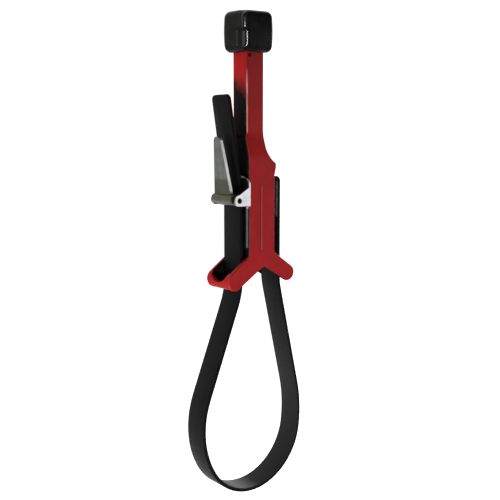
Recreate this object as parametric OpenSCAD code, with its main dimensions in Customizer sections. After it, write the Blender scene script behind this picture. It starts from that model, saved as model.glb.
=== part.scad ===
// Strap wrench for oil filters: a cast handle with a slotted V head, a belt loop
// anchored on one side and a cam buckle that grips the belt on the other side.
// The wrench lies flat: X runs from the buckle side to the anchor side, Y runs up
// the handle towards the cap and Z is the width of the belt.  Sizes are in mm.

/* [Handle] */
// side of the square shank
shank_w = 17; // [15:0.5:19]
// height of the end of the shank above the origin
shank_end_y = 157.5; // [150:0.5:165]
// width of the body and of the head along Z
head_w = 28; // [27:0.5:32]
// width of the body along X
body_w = 26.5; // [25:0.5:30]
// distance from the shank axis to the middle of the body
body_shift = 2.5; // [1.5:0.25:3.5]
// height where the body starts to swell out of the shank
flare_top_y = 67.1; // [65:0.1:70]
// radius of that swelling along the width
flare_width_r = 30; // [24:1:34]
// height where the hollow sweep on the anchor side starts
sweep_top_y = 64; // [62:0.5:66]
// radius of that sweep
sweep_r = 16; // [15.5:0.5:18]
// step of the ledge above the anchored belt end
ledge_step = 1.45; // [0.8:0.05:2]
// height of the ledge
ledge_y = 46; // [42:0.5:47]
// length of the slope below the ledge
ledge_run = 5.5; // [4:0.5:8]
// height of the shoulder on the buckle side
shoulder_y = 70; // [69:0.5:72]
// length of that shoulder
shoulder_rise = 3; // [2:0.5:4]
// radius of the blind hole in the shank below the cap
blind_r = 1.5; // [0.8:0.1:1.6]
// distance of that hole from the shank axis
blind_x = 5.6; // [3:0.1:5.8]
// distance of that hole from the rim of the cap
blind_drop = 2.4; // [2:0.1:6]
// depth of that hole
blind_depth = 4; // [2:0.5:6]

/* [Head] */
// distance of the apex between the arms from the middle of the head
apex_x = 2; // [0:0.25:3]
// height of that apex
apex_y = -31; // [-33:0.5:-29]
// distance of the tip on the buckle side from the middle of the head
left_tip_x = 26.5; // [25:0.1:28]
// height of that tip
left_tip_y = -40; // [-41:0.1:-38]
// radius of that tip
left_tip_r = 7.4; // [6:0.1:7.5]
// distance of the tip on the anchor side from the middle of the head
right_tip_x = 28; // [26:0.1:29]
// height of that tip
right_tip_y = -38.6; // [-40:0.1:-37]
// radius of that tip
right_tip_r = 6.6; // [5.6:0.1:7]
// slope of the upper edge of the arms, in degrees
arm_slope = 34.5; // [30:0.5:38]
// radius of the fillet between body and arm
arm_fillet_r = 5; // [3:0.5:8]
// width of the belt slots along Z
slot_w = 22; // [21:0.5:23]
// thickness of the bar that closes each slot at the arm tip
tip_bar = 4; // [3:0.25:6]
// radius of the saddle in that bar
saddle_r = 10.5; // [8:0.5:11]
// height of the middle of the saddle
saddle_y = -30.5; // [-33:0.5:-28]
// width of the rib on the near face of the body
rib_w = 1; // [0.6:0.1:1.6]
// height of that rib
rib_h = 0.4; // [0.2:0.1:0.8]
// distance of that rib from the shank axis
rib_x = 1.5; // [-2:0.5:6]
// lower end of that rib
rib_y = -17; // [-20:0.5:-10]
// length of that rib
rib_len = 50; // [40:1:56]

/* [Cap] */
// width of the cap along X
cap_w = 30.4; // [26:0.2:32]
// lower rim of the cap
cap_y = 133.5; // [125:0.5:140]
// length of the cap
cap_h = 30.8; // [27:0.2:36]
// radius of the upright edges of the cap
cap_edge_r = 5; // [2:0.5:6]
// radius of the top edges of the cap
cap_top_r = 5; // [2:0.5:6]

/* [Belt] */
// width of the belt
belt_w = 20.6; // [18:0.2:21]
// thickness of the belt
belt_t = 3; // [2.4:0.1:3.1]
// radius of the filter can that the bow is curved for
filter_r = 46.5; // [42:0.5:50]
// turn of that bow, in degrees
bow_turn = 143; // [125:1:150]
// middle radius of the wider bend on the buckle side
wide_r = 69.6; // [60:0.2:80]
// turn of that wider bend, in degrees
wide_turn = 51.4; // [42:0.2:58]
// middle radius of the bend on the anchor side
slack_r = 107; // [90:1:130]
// spread of the strand on the buckle side, in degrees
left_spread = 21.8; // [18:0.2:24]
// spread of the strand on the anchor side, in degrees
right_spread = 13.3; // [10:0.1:16]
// middle radius of the belt where it leaves the slots
spread_r = 60; // [50:1:80]
// height where the belt starts to spread
spread_y = -38.5; // [-42:0.5:-34]
// middle of the belt where it runs up to the buckle
run_x = -15.2; // [-15.6:0.1:-15]
// height where the free tail bends away from the handle
tail_bend_y = 25.4; // [24:0.2:30]
// lean of the free tail, in degrees
tail_lean = 9.1; // [7:0.1:9.4]
// middle radius of that bend
tail_bend_r = 40; // [30:1:60]
// length of the free tail above the bend
tail_len = 70.5; // [50:0.5:90]
// corner radius of the end of the tail
tail_corner_r = 4; // [2:0.5:8]

/* [Belt anchor] */
// height of the pad under the folded belt end
pad_h = 1; // [0.6:0.1:1.5]
// length of that pad past the rivets
pad_margin = 6; // [4:0.5:6.5]
// thickness of the plate inside the fold
anchor_t = 2; // [1.5:0.1:2.5]
// height of the middle of the fold
fold_y = 35.4; // [32:0.2:36]
// length of the folded back belt end
fold_len = 28; // [24:0.5:32]
// radius of the rivet shanks
rivet_r = 2; // [1.5:0.1:2.5]
// spacing of the two anchor rivets
anchor_pitch = 14; // [12:0.5:15]
// length of the rivet shanks inside the handle
rivet_grip = 8; // [6:0.5:9]
// radius of the anchor rivet heads
head_r = 3.8; // [3:0.1:4.4]
// height of those heads
head_h = 1.8; // [1.2:0.1:2.2]
// radius of the washers under the anchor rivet heads
washer_r = 5; // [4.5:0.25:6]
// thickness of those washers
washer_t = 0.8; // [0.6:0.1:1.2]

/* [Buckle bracket] */
// thickness of the bracket sheet
sheet_t = 2; // [1.6:0.1:2.2]
// outer width over the two ears
ear_span = 30; // [29:0.1:31]
// lower end of the base plate
base_y = -15; // [-18:0.5:-10]
// width of the base plate below the ears
base_w = 23.8; // [22:0.2:25]
// top of the ears
ear_top_y = 33; // [31:0.5:34]
// bottom of the ears
ear_bottom_y = 17.4; // [16:0.2:18]
// distance of the ear nose from the shank axis
nose_x = -22.2; // [-22.6:0.1:-21.8]
// radius of the ear nose
nose_r = 4.4; // [4:0.1:4.6]
// radius of the guide lip above the ears
lip_r = 9; // [8.5:0.1:10]
// turn of the guide lip, in degrees
lip_turn = 42; // [36:1:44]
// corner radius of the guide lip
lip_corner_r = 6; // [3:0.5:7]
// height of the anvil under the cam
anvil_h = 0.6; // [0.3:0.1:0.7]
// length of that anvil
anvil_len = 8; // [6:0.5:9]
// spacing of the two bracket rivets
base_pitch = 18; // [14:0.5:20]
// distance of the lower rivet from the lower end of the base plate
base_margin = 6; // [5:0.5:8]
// radius of the countersunk heads of the bracket rivets
sink_r = 3.7; // [3.2:0.1:4.4]
// depth of those heads
sink_h = 1.2; // [0.8:0.1:1.4]

/* [Cam lever] */
// distance of the pivot from the shank axis
pivot_x = -21.8; // [-22:0.1:-21.6]
// height of the pivot
pivot_y = 22.1; // [21:0.1:23]
// radius of the pivot pin
pin_r = 2; // [1.5:0.1:2.2]
// radius of the bore of the tubular pin
pin_bore_r = 1.25; // [0.8:0.05:1.3]
// width of the slit in that pin
pin_slit = 0.8; // [0.5:0.1:1]
// running clearance of the lever on the pin
pin_play = 0.06; // [0.03:0.01:0.1]
// radius of the cam
cam_r = 4.35; // [4.1:0.05:4.4]
// offset of the cam from the pivot
cam_offset = 0.5; // [0.3:0.05:0.6]
// direction of that offset, in degrees
cam_phase = 25; // [10:1:40]
// gap between the cam and the near ear
cam_gap = 0.4; // [0.2:0.1:2]
// radius of the grip grooves in the cam
groove_r = 0.4; // [0.3:0.05:0.5]
// angle between those grooves, in degrees
groove_step = 16; // [14:1:20]
// width of the lever at the cam
lever_w = 20.6; // [19:0.2:21]
// width of the lever at its tip
lever_tip_w = 8.2; // [6:0.2:10]
// length of the lever above its heel
lever_len = 46.6; // [40:0.2:50]
// lean of the lever, in degrees
lever_lean = 7.3; // [6:0.1:9]
// thickness of the lever sheet
lever_t = 1.4; // [1:0.1:1.6]
// depth of the lever flanges
lever_flange = 3; // [2.5:0.1:3.6]
// radius of the heel
heel_r = 3.3; // [3:0.1:3.6]
// distance of the heel from the pivot, away from the handle
heel_out = 3.7; // [3.4:0.1:4]
// height of the heel above the pivot
heel_up = 1.4; // [1:0.1:1.8]

/* [Hidden] */
$fn = 96;
eps = 0.01;
lap = 0.1;
seam = -0.02;
bite = 1;
through = 200;
fine_fn = 180;
rivet_gap = 0.05;
rivet_end_gap = 0.5;
pin_fit = 0.02;
mid_z = head_w / 2;
body_l = body_shift - body_w / 2;
body_r = body_shift + body_w / 2;
belt_z = mid_z - belt_w / 2;

// height where the upper edge of an arm meets the side of the body
function arm_root(tip, r) =
    tip.y + r * cos(arm_slope) + (tip.x + r * sin(arm_slope) - body_w / 2) * tan(arm_slope);
left_tip = [left_tip_x, left_tip_y];
right_tip = [right_tip_x, right_tip_y];
left_root_y = arm_root(left_tip, left_tip_r);
right_root_y = arm_root(right_tip, right_tip_r);
left_end = body_shift - left_tip_x - left_tip_r;
right_end = body_shift + right_tip_x + right_tip_r;

// sweep and ledge on the anchor side
ledge_x = body_r + ledge_step;
sweep_drop = sqrt(pow(sweep_r, 2) - pow(shank_w / 2 + sweep_r - ledge_x, 2));
sweep_y = sweep_top_y - sweep_drop;
swell = (head_w - shank_w) / 2;
swell_y = flare_top_y - sqrt(pow(flare_width_r, 2) - pow(flare_width_r - swell, 2));

// stack of the folded belt end, from the body outwards
inner_x = body_r + pad_h + belt_t / 2;
anchor_x = inner_x + belt_t / 2 + anchor_t / 2;
outer_x = anchor_x + anchor_t / 2 + belt_t / 2;
fold_r = (outer_x - inner_x) / 2;
rivet_mid_y = fold_y - fold_len / 2 + bite;
dome_r = (pow(head_r, 2) + pow(head_h, 2)) / (2 * head_h);

// loop of the belt: strands are straight, the lengths close the loop
bow_r = filter_r + belt_t / 2;
slack_turn = 180 + left_spread + right_spread - wide_turn - bow_turn;
function unit(h) = [cos(h), sin(h)];
function arc_move(r, h, turn) = r * [sin(h + turn) - sin(h), cos(h) - cos(h + turn)];
left_h = -90 - left_spread;
right_h = 90 + right_spread;
left_start = [run_x, spread_y] + arc_move(-spread_r, -90, -left_spread);
strand_end = [outer_x, spread_y] - arc_move(-spread_r, right_h, -right_spread);
bow_h = left_h + wide_turn;
slack_h = bow_h + bow_turn;
arcs_move = arc_move(wide_r, left_h, wide_turn) + arc_move(bow_r, bow_h, bow_turn)
    + arc_move(slack_r, slack_h, slack_turn);
gap = strand_end - left_start - arcs_move;
closing = cross(unit(left_h), unit(right_h));
left_len = cross(gap, unit(right_h)) / closing;
right_len = cross(unit(left_h), gap) / closing;
wide_start = left_start + left_len * unit(left_h);
bow_start = wide_start + arc_move(wide_r, left_h, wide_turn);
slack_start = bow_start + arc_move(bow_r, bow_h, bow_turn);
slack_end = slack_start + arc_move(slack_r, slack_h, slack_turn);
tail_start = [run_x, tail_bend_y] + arc_move(tail_bend_r, 90, tail_lean);
clamp_y = ear_bottom_y - seam;

// bracket and lever: the far ear reaches down to the bench
base_out_x = body_l - sheet_t;
base_mid_y = base_y + base_margin + base_pitch / 2;
bracket_z = ear_span / 2;
lip_rise = (lip_r + sheet_t) * sin(lip_turn);
ear_rise = atan((ear_top_y - pivot_y) / (body_l - nose_x))
    + asin(nose_r / norm([body_l - nose_x, ear_top_y - pivot_y]));
cam_centre = [pivot_x, pivot_y] + cam_offset * unit(cam_phase);
cam_z = mid_z - lever_w / 2;
cam_w = ear_span - sheet_t - cam_gap - cam_z;
groove_first = -20;
groove_last = 60;
heel = [pivot_x - heel_out, pivot_y + heel_up];
heel_low_turn = -104;
heel_low = heel + heel_r * unit(heel_low_turn);
lever_root = [heel.x - lap, heel.y + heel_r / 6];

// flat shapes of the handle
module arm_flat(tip, r, apex, root_y) {
    reach = [tip.x - apex.x, apex.y - tip.y];
    under = atan(reach.y / reach.x) + asin(r / norm(reach));
    fillet_y = root_y + arm_fillet_r * (1 / cos(arm_slope) - tan(arm_slope));
    fillet_end = [body_w / 2 + arm_fillet_r, fillet_y] - arm_fillet_r * [sin(arm_slope), cos(arm_slope)];
    polygon([[-3 * bite, root_y], [body_w / 2, root_y], tip + r * [sin(arm_slope), cos(arm_slope)],
        tip - r * [sin(under), cos(under)], apex]);
    translate(tip) circle(r);
    difference() {
        polygon([[body_w / 2 - bite, fillet_y], [body_w / 2, fillet_y], fillet_end,
            fillet_end - bite * [1, 1], [body_w / 2 - bite, root_y - bite]]);
        translate([body_w / 2 + arm_fillet_r, fillet_y]) circle(arm_fillet_r);
    }
}

module head_flat() {
    translate([body_shift, 0]) {
        mirror([1, 0]) arm_flat(left_tip, left_tip_r, [-apex_x, apex_y], left_root_y);
        arm_flat(right_tip, right_tip_r, [apex_x, apex_y], right_root_y);
    }
}

module body_flat() {
    floor_y = min(left_root_y, right_root_y) - 2 * bite;
    shank_y = shoulder_y + shoulder_rise;
    translate([body_l, floor_y]) square([body_w, sweep_y - floor_y]);
    polygon([[body_l, sweep_y - bite], [body_l, shoulder_y], [-shank_w / 2, shank_y], [shank_w / 2, shank_y],
        [shank_w / 2, sweep_y - bite]]);
    polygon([[body_shift, sweep_y], [ledge_x, sweep_y], [ledge_x, ledge_y], [body_r, ledge_y - ledge_run],
        [body_shift, ledge_y - ledge_run]]);
    difference() {
        translate([0, sweep_y]) square([ledge_x, sweep_drop]);
        translate([shank_w / 2 + sweep_r, sweep_top_y]) circle(sweep_r);
    }
}

module width_flat() {
    foot_y = min(left_tip_y - left_tip_r, right_tip_y - right_tip_r) - 2 * bite;
    neck_y = flare_top_y - 2 * bite;
    translate([-head_w / 2, foot_y]) square([head_w, swell_y - foot_y]);
    intersection() {
        translate([head_w / 2 - flare_width_r, swell_y]) circle(flare_width_r, $fn = fine_fn);
        translate([flare_width_r - head_w / 2, swell_y]) circle(flare_width_r, $fn = fine_fn);
        translate([-head_w / 2, swell_y - eps]) square([head_w, flare_top_y - swell_y + 2 * bite]);
    }
    translate([-shank_w / 2, neck_y]) square([shank_w, shoulder_y + shoulder_rise - neck_y]);
}

module rounded_flat(w, h, r) {
    square([w - 2 * r, h], center = true);
    square([w, h - 2 * r], center = true);
    for (sx = [-1, 1], sy = [-1, 1])
        translate([sx * (w / 2 - r), sy * (h / 2 - r)]) circle(r);
}

// belt pieces, starting at point p with heading h; straight pieces run a little past
// both ends into the bends that they meet, or stop short of the next piece of belt
module belt_straight(p, h, len, before = lap, after = lap) {
    translate([p.x, p.y, belt_z]) rotate(h) translate([-before, -belt_t / 2 + eps, eps])
        cube([len + before + after, belt_t - 2 * eps, belt_w - 2 * eps]);
}

module belt_left(p, h, r, turn, slim = 0, before = 0, after = 0) {
    first = before / r * 180 / PI;
    last = after / r * 180 / PI;
    translate([p.x, p.y, belt_z + slim]) rotate(h) translate([0, r, 0]) rotate(-90 - first)
        rotate_extrude(angle = first + turn + last, $fn = fine_fn) translate([r - belt_t / 2 + slim, 0])
            square([belt_t - 2 * slim, belt_w - 2 * slim]);
}

module belt_right(p, h, r, turn) {
    translate([p.x, p.y, belt_z]) rotate(h) translate([0, -r, 0]) rotate(90 - turn)
        rotate_extrude(angle = turn, $fn = fine_fn) translate([r - belt_t / 2, 0]) square([belt_t, belt_w]);
}

// round bar along X, used for the rivets and their holes
module x_bar(x, y, len, r) {
    translate([x, y, mid_z]) rotate([0, 90, 0]) cylinder(h = len, r = r);
}

module anchor_places() {
    for (side = [-1, 1])
        translate([0, rivet_mid_y + side * anchor_pitch / 2, 0]) children();
}

module base_places() {
    for (side = [-1, 1])
        translate([0, base_mid_y + side * base_pitch / 2, 0]) children();
}

// flat outline of the lever, inset from its edges
module lever_flat(inset) {
    tip = lever_tip_w / 2;
    polygon([[-lever_w / 2 + inset, 0], [-tip + inset, lever_len - tip], [tip - inset, lever_len - tip],
        [lever_w / 2 - inset, 0]]);
    translate([0, lever_len - tip]) circle(tip - inset);
}

module handle() {
    color("firebrick") difference() {
        union() {
            intersection() {
                linear_extrude(head_w) union() {
                    head_flat();
                    body_flat();
                }
                translate([0, 0, mid_z]) rotate([0, 90, 0])
                    linear_extrude(through, center = true) width_flat();
            }
            translate([-shank_w / 2, flare_top_y, mid_z - shank_w / 2])
                cube([shank_w, shank_end_y - flare_top_y, shank_w]);
            translate([body_r - eps, rivet_mid_y - anchor_pitch / 2 - pad_margin, belt_z])
                cube([pad_h + eps, anchor_pitch + 2 * pad_margin, belt_w]);
            translate([rib_x - rib_w / 2, rib_y, head_w - eps]) cube([rib_w, rib_len, rib_h + eps]);
        }
        translate([left_end + tip_bar, -through / 2, mid_z - slot_w / 2])
            cube([body_l - left_end - tip_bar, through / 2, slot_w]);
        translate([body_r, -through / 2, mid_z - slot_w / 2])
            cube([right_end - tip_bar - body_r, through / 2, slot_w]);
        for (x = [left_end, right_end])
            translate([x, saddle_y, mid_z]) rotate([0, 90, 0])
                cylinder(h = 2 * tip_bar + 4 * bite, r = saddle_r, center = true);
        anchor_places() x_bar(body_r + pad_h - rivet_grip, 0, rivet_grip + bite, rivet_r + rivet_gap);
        base_places() x_bar(body_l - bite, 0, rivet_grip + bite, rivet_r + rivet_gap);
        translate([-blind_x, cap_y - blind_drop, mid_z + shank_w / 2 - blind_depth])
            cylinder(h = blind_depth + bite, r = blind_r);
    }
}

module end_cap() {
    color("dimgray") difference() {
        intersection() {
            translate([0, cap_y + cap_h, mid_z]) rotate([90, 0, 0])
                linear_extrude(cap_h) rounded_flat(cap_w, head_w, cap_edge_r);
            linear_extrude(head_w) translate([0, cap_y + cap_h / 2]) rounded_flat(cap_w, cap_h, cap_top_r);
            translate([0, cap_y + cap_h / 2, mid_z]) rotate([0, 90, 0])
                linear_extrude(cap_w, center = true) rounded_flat(head_w, cap_h, cap_top_r);
        }
        translate([-shank_w / 2, cap_y - bite, mid_z - shank_w / 2])
            cube([shank_w, shank_end_y - cap_y + bite, shank_w]);
    }
}

module ear_flat() {
    difference() {
        union() {
            translate([nose_x, pivot_y]) circle(nose_r);
            polygon([[nose_x, pivot_y - nose_r], [nose_x, pivot_y] + nose_r * unit(90 + ear_rise),
                [body_l, ear_top_y], [body_l, ear_bottom_y]]);
        }
        translate([pivot_x, pivot_y]) circle(pin_r + pin_fit);
    }
}

module buckle_bracket() {
    color("silver") difference() {
        union() {
            translate([base_out_x, base_y, bracket_z - base_w / 2])
                cube([sheet_t, ear_bottom_y - base_y + bite, base_w]);
            translate([base_out_x, ear_bottom_y, 0]) cube([sheet_t, ear_top_y - ear_bottom_y, ear_span]);
            translate([base_out_x - anvil_h, pivot_y - anvil_len / 2, mid_z - slot_w / 2])
                cube([anvil_h + eps, anvil_len, slot_w]);
            for (z = [0, ear_span - sheet_t])
                translate([0, 0, z]) linear_extrude(sheet_t) ear_flat();
            intersection() {
                translate([base_out_x - lip_r, ear_top_y, 0])
                    rotate_extrude(angle = lip_turn) translate([lip_r, 0]) square([sheet_t, ear_span]);
                translate([0, ear_top_y, bracket_z]) rotate([0, 90, 0])
                    linear_extrude(through, center = true) rounded_flat(ear_span, 2 * lip_rise, lip_corner_r);
            }
        }
        base_places() x_bar(base_out_x - bite, 0, sheet_t + 2 * bite, rivet_r + rivet_gap);
        base_places() translate([base_out_x - eps, 0, mid_z]) rotate([0, 90, 0])
            cylinder(h = sink_h + rivet_gap, r1 = sink_r + rivet_gap, r2 = rivet_r + rivet_gap);
    }
}

module bracket_rivets() {
    color("gainsboro") base_places() union() {
        x_bar(base_out_x, 0, sheet_t + rivet_grip - rivet_end_gap, rivet_r);
        translate([base_out_x, 0, mid_z]) rotate([0, 90, 0]) cylinder(h = sink_h, r1 = sink_r, r2 = rivet_r);
    }
}

module pivot_pin() {
    color("lightgray") translate([pivot_x, pivot_y, 0]) difference() {
        cylinder(h = ear_span, r = pin_r);
        translate([0, 0, -bite]) cylinder(h = ear_span + 2 * bite, r = pin_bore_r);
        translate([-pin_slit / 2, 0, -bite]) cube([pin_slit, pin_r + bite, ear_span + 2 * bite]);
    }
}

module cam_lever() {
    color("darkgray") difference() {
        union() {
            translate([lever_root.x, lever_root.y, mid_z]) rotate([0, 0, lever_lean]) rotate([0, 90, 0])
                difference() {
                    linear_extrude(lever_flange) lever_flat(0);
                    translate([0, 0, lever_t]) linear_extrude(lever_flange) lever_flat(lever_t);
                }
            translate([0, 0, cam_z]) linear_extrude(cam_w) {
                translate(cam_centre) circle(cam_r);
                translate(heel) circle(heel_r);
                polygon([cam_centre - [0, cam_r], heel_low, heel + [0, heel_r], cam_centre + [0, cam_r]]);
            }
        }
        translate([pivot_x, pivot_y, 0]) cylinder(h = ear_span, r = pin_r + pin_play);
        for (a = [groove_first : groove_step : groove_last])
            translate(cam_centre) rotate(a) translate([cam_r + groove_r / 4, 0, 0])
                cylinder(h = ear_span, r = groove_r, $fn = 24);
    }
}

module strap_tail() {
    color("black") union() {
        belt_straight([run_x, clamp_y], 90, tail_bend_y - clamp_y, before = seam);
        belt_left([run_x, tail_bend_y], 90, tail_bend_r, tail_lean);
        difference() {
            belt_straight(tail_start, 90 + tail_lean, tail_len, after = 0);
            translate([tail_start.x, tail_start.y, mid_z]) rotate(90 + tail_lean)
                for (side = [-1, 1])
                    translate([tail_len - tail_corner_r, 0, side * (belt_w / 2 - tail_corner_r)])
                        difference() {
                            translate([0, -belt_t, side > 0 ? 0 : -tail_corner_r - bite])
                                cube([tail_corner_r + bite, 2 * belt_t, tail_corner_r + bite]);
                            rotate([90, 0, 0]) cylinder(h = 3 * belt_t, r = tail_corner_r, center = true);
                        }
        }
    }
}

module strap_running_strand() {
    color("black") union() {
        belt_straight([run_x, clamp_y], -90, clamp_y - spread_y, before = seam);
        belt_right([run_x, spread_y], -90, spread_r, left_spread);
        belt_straight(left_start, left_h, left_len, after = seam);
    }
}

module strap_bow() {
    color("black") union() {
        belt_left(wide_start, left_h, wide_r, wide_turn, slim = eps, after = lap);
        belt_left(bow_start, bow_h, bow_r, bow_turn);
        belt_left(slack_start, slack_h, slack_r, slack_turn, slim = eps, before = lap);
    }
}

module strap_fixed_strand() {
    color("black") difference() {
        union() {
            belt_straight(slack_end, right_h, right_len, before = seam);
            belt_right(strand_end, right_h, spread_r, right_spread);
            belt_straight([outer_x, spread_y], 90, fold_y - spread_y);
            belt_left([outer_x, fold_y], 90, fold_r, 180);
            belt_straight([inner_x, fold_y], -90, fold_len, after = 0);
        }
        anchor_places() x_bar(body_r, 0, through, rivet_r + rivet_gap);
    }
}

module anchor_plate() {
    color("silver") difference() {
        translate([anchor_x - anchor_t / 2, fold_y - fold_len, belt_z])
            cube([anchor_t, fold_len, belt_w]);
        anchor_places() x_bar(body_r, 0, through, rivet_r + rivet_gap);
    }
}

module anchor_washers() {
    color("silver") anchor_places() difference() {
        x_bar(outer_x + belt_t / 2, 0, washer_t, washer_r);
        x_bar(outer_x, 0, through, rivet_r + rivet_gap);
    }
}

module anchor_rivets() {
    head_x = outer_x + belt_t / 2 + washer_t;
    color("gainsboro") anchor_places() union() {
        x_bar(body_r + pad_h - rivet_grip + rivet_end_gap, 0, head_x - body_r - pad_h + rivet_grip, rivet_r);
        translate([head_x, 0, mid_z]) rotate([0, 90, 0])
            rotate_extrude() intersection() {
                translate([0, head_h - dome_r]) circle(dome_r);
                square([head_r, head_h]);
            }
    }
}

handle();
end_cap();
buckle_bracket();
bracket_rivets();
pivot_pin();
cam_lever();
strap_tail();
strap_running_strand();
strap_bow();
strap_fixed_strand();
anchor_plate();
anchor_washers();
anchor_rivets();
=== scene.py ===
"""Looks of the oil filter strap wrench: the painted casting, the rubber cap, the belt, the steel
buckle with its cam lever and the small fasteners, on a plain pale floor."""

import math

import bmesh
import bpy
from bpy.props import FloatProperty, FloatVectorProperty, PointerProperty
from mathutils import Matrix, Vector


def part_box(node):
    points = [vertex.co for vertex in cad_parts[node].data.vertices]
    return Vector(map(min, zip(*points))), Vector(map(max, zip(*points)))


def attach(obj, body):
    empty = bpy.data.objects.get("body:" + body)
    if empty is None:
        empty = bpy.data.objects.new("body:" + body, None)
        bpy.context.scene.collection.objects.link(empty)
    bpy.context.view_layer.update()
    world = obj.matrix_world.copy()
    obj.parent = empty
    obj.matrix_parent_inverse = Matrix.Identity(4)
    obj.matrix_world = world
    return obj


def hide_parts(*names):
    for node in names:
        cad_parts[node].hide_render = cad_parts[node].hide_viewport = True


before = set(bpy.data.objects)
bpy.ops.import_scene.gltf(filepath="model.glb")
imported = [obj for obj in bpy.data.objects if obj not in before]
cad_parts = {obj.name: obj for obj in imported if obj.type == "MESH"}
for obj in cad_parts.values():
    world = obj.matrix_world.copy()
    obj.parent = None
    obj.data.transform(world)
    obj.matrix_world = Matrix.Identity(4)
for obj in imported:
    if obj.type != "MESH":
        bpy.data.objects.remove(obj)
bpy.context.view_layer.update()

bl_info = {
    "name": "Oil filter strap wrench",
    "version": (1, 0, 0),
    "blender": (4, 5, 0),
    "location": "3D View > Sidebar > Wrench",
    "description": "Models the finished surfaces of a strap wrench around its frame",
    "category": "Object",
}

MM = 0.001
HAIR = 0.01 * MM
QUARTER = math.pi / 2.0
UP = Vector((0.0, 1.0, 0.0))
BODY = "wrench"
LEVER_BODY = "lever"

BELT_LOW, BELT_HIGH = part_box("strap_bow")
CAP_LOW, CAP_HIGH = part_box("end_cap")
PLATE_LOW, PLATE_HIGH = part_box("anchor_plate")
MIDDLE_Z = (CAP_LOW.z + CAP_HIGH.z) / 2.0
LOOP_MIDDLE = (0.0, -140.0 * MM, MIDDLE_Z)

# Places on the casting whose edges are rounded in their own way or not at all.
RIB_X = 1.5 * MM
RIB_HALF = 0.8 * MM
RIB_RISE = 0.05 * MM
SLOT_TOP = -15.0 * MM
SLOT_HALF = 11.2 * MM
BLIND_HOLE = Vector((-5.6 * MM, CAP_LOW.y - 2.4 * MM))
BLIND_HOLE_REACH = 2.0 * MM
RIVET_HOLE_REACH = 2.3 * MM
BELT_SEAT_DEPTH = 5.0 * MM
BELT_SEAT_BELOW = 4.0 * MM
BELT_SEAT_ABOVE = 2.0 * MM

# Places on the buckle whose edges stay as they are.
COUNTERSINK_HALF = 4.0 * MM
COUNTERSINK_DEPTH = 2.5 * MM
COUNTERSINK_TOP = 12.0 * MM
LIP_LENGTH = 1.8 * MM
LEVER_BARREL_TOP = 26.0 * MM

# Where the looks change, in millimetres; each ramp runs from none to full.
# Crest of the rib, where a painted highlight lies.
RIB_CREST_Z = (28.2, 28.35)
# Darker bands on the near faces of the casting.
SHOULDER_DARK_Y = (15.0, 35.0)
SHOULDER_DARK_END_Y = (58.0, 42.0)
NECK_DARK_Y = (66.0, 84.0)
SHANK_DARK_Y = (90.0, 126.0)
# Limits of the painted shadow on the left sides, under the arms and in the slots.
SHADOW_TOP_Y = (125.5, 114.5)
SHADOW_FOOT_Y = (-33.0, -27.0)
UNDER_ARM_X = (3.0, 5.0)
SLOT_WALL_Z = (6.0, 5.0)
SLOT_SHADE_Y = (-14.0, -18.0)
BLIND_HOLE_R = (1.7, 1.3)
# Span of the painted highlight along the near left corner.
HIGHLIGHT_FOOT_Y = (71.0, 74.5)
HIGHLIGHT_TOP_Y = (122.0, 108.0)
# Painted light inside the loop, and the painted sheen at the bottom of the bow.
LOOP_LIGHT_Y = (-70.0, -130.0)
LOOP_END_X = (4.0, -16.0)
LOOP_END_Y = (-200.0, -206.0)
# Painted shade on the zinc tongue and on the buckle side.
TONGUE_Y = (16.5, 15.0)
BUCKLE_SIDE_X = (5.0, 0.0)
# Painted shade on the lever's heel, its darker barrel, and the painted highlight on its sheared edge.
LEVER_HEEL_Y = (39.5, 37.0)
LEVER_BARREL_Y = (29.0, 27.0)
LEVER_EDGE_Y = (27.0, 30.0)

# Colours of thin paint, tints, painted shade and painted highlights.
THIN_PAINT = (0.55, 0.09, 0.08)
# Painted highlight on the crest of the rib.
RIB_HIGHLIGHT = (0.52, 0.16, 0.09)
# Painted highlight along the near left corner.
CORNER_HIGHLIGHT = (1.0, 0.46, 0.44)
# Painted shadow on the left sides, in the slots and in the blind hole.
PAINTED_SHADOW = (0.019, 0.016, 0.016)
# Painted shade on the zinc.
ZINC_SHADE = (0.03, 0.03, 0.03)
# Painted shade on the lever's heel.
HEEL_SHADE = (0.042, 0.041, 0.026)
BARREL_TINT = (0.066, 0.063, 0.04)
# Bare steel of the sheared edge, lightened as a painted highlight on its near side.
SHEARED_HIGHLIGHT = (0.72, 0.72, 0.7)

# Soft lights: name, place, target, width and height in metres, power in watts.
WRENCH_MIDDLE = (0.0, -0.02, 0.014)
REFLECTED_LIGHT = "strip_over_buckle_side"
LIGHTS = (
    (REFLECTED_LIGHT, (-0.70, 0.22, 0.60), (-0.01, 0.1, 0.014), 0.08, 0.24, 4.2),
    ("low_from_buckle_side", (-0.76, -0.36, 0.06), WRENCH_MIDDLE, 0.1, 0.25, 0.9),
    ("near_light", (-0.06, -0.37, 0.46), (0.0, -0.06, 0.014), 0.5, 0.3, 2.45),
    ("box_over_anchor_side", (0.62, 0.04, 0.78), WRENCH_MIDDLE, 0.4, 0.58, 0.94),
    ("rim_from_anchor_side", (0.9, 0.25, 0.12), WRENCH_MIDDLE, 0.12, 0.4, 2.0),
)
WORLD_STRENGTH = 0.07
FLOOR_SIZE = 8.0
FLOOR_Z = -0.3 * MM
FLOOR_GLOW = 0.96

# Camera at the photograph's viewing angle.
CAMERA_TARGET = Vector((1.68, -19.1, 14.0)) * MM
CAMERA_DISTANCE = 607.2 * MM
CAMERA_SWING = math.radians(40.0)
CAMERA_RISE = math.radians(8.3)
CAMERA_LENS = 54.94
CAMERA_SENSOR = 36.0
CAMERA_CLIP = 10.0 * MM


def length(name, description, default):
    """A size in metres that the user can change."""
    return FloatProperty(
        name=name, description=description, default=default, precision=4, unit="LENGTH")


def angle(name, description, degrees):
    """An angle that the user can change."""
    return FloatProperty(
        name=name, description=description, default=math.radians(degrees), unit="ROTATION")


def colour(name, description, default):
    """A colour that the user can change."""
    return FloatVectorProperty(
        name=name, description=description, default=default, subtype="COLOR", min=0.0, max=1.0)


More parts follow.
